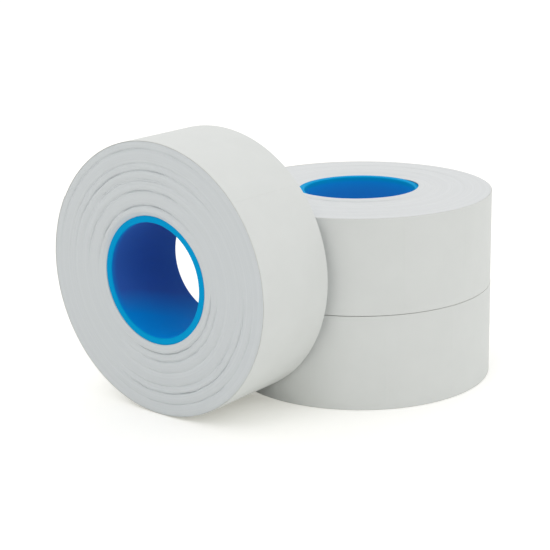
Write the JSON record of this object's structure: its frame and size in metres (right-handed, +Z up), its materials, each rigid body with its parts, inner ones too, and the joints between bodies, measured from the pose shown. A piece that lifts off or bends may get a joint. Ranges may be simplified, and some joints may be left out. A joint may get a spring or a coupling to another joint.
{
  "type": "price label roll set",
  "caption": "Rolls of blank white labels on blue plastic cores for a price labelling gun, some stacked flat and one stood on its rim against them.",
  "frame": {"origin": "centre of the stack's foot: where the axis of the two stacked rolls meets the table", "axes": "+Z up along the stacked rolls' axis; the standing roll leans nowhere and faces between -X and -Y, its own axis horizontal along (-0.632, -0.775, 0)"},
  "size_m": [0.0956, 0.0762, 0.0581],
  "materials": {
    "core_plastic": "smooth moulded blue, slightly translucent at the rims",
    "wound_paper": "slit edges of wound labels and liner, fine rings, matte",
    "label_paper": "uncoated white label face, matte",
    "liner_paper": "siliconised glassine, satin",
    "clear_tape": "thin matte translucent film"
  },
  "bodies": {
    "lower_roll": {"lower_core": "core_plastic", "lower_starter_tape": "clear_tape", "lower_windings": "wound_paper", "lower_outer_liner": "liner_paper", "lower_outer_labels": "label_paper"},
    "upper_roll": {"upper_core": "core_plastic", "upper_starter_tape": "clear_tape", "upper_windings": "wound_paper", "upper_outer_liner": "liner_paper", "upper_outer_labels": "label_paper"},
    "front_roll": {"front_core": "core_plastic", "front_starter_tape": "clear_tape", "front_windings": "wound_paper", "front_outer_liner": "liner_paper", "front_outer_labels": "label_paper"},
    "lower_tail": {"lower_tail_liner": "liner_paper", "lower_tail_label": "label_paper", "lower_closing_tape": "clear_tape"},
    "upper_tail": {"upper_tail_liner": "liner_paper", "upper_tail_label": "label_paper", "upper_closing_tape": "clear_tape"},
    "front_tail": {"front_tail_liner": "liner_paper", "front_tail_label": "label_paper", "front_closing_tape": "clear_tape"}
  },
  "joints": [
    {"name": "upper_roll_lift", "type": "slide", "parent": "lower_roll", "child": "upper_roll", "axis": [0, 0, 1], "range_m": [0, 0.06]},
    {"name": "front_roll_spin", "type": "hinge", "parent": "lower_roll", "child": "front_roll", "pos_m": [-0.03744, -0.02075, 0.0291], "axis": [-0.632, -0.7749, 0], "continuous": true},
    {"name": "lower_tail_peel", "type": "hinge", "parent": "lower_roll", "child": "lower_tail", "pos_m": [-0.02547, 0.01388, 0.0103], "axis": [0, 0, 1], "range_deg": [0, 120]},
    {"name": "upper_tail_peel", "type": "hinge", "parent": "upper_roll", "child": "upper_tail", "pos_m": [-0.00324, 0.02882, 0.031], "axis": [0, 0, 1], "range_deg": [0, 120]},
    {"name": "front_tail_peel", "type": "hinge", "parent": "front_roll", "child": "front_tail", "pos_m": [-0.05992, -0.00243, 0.02839], "axis": [-0.632, -0.7749, 0], "range_deg": [0, 120]}
  ]
}
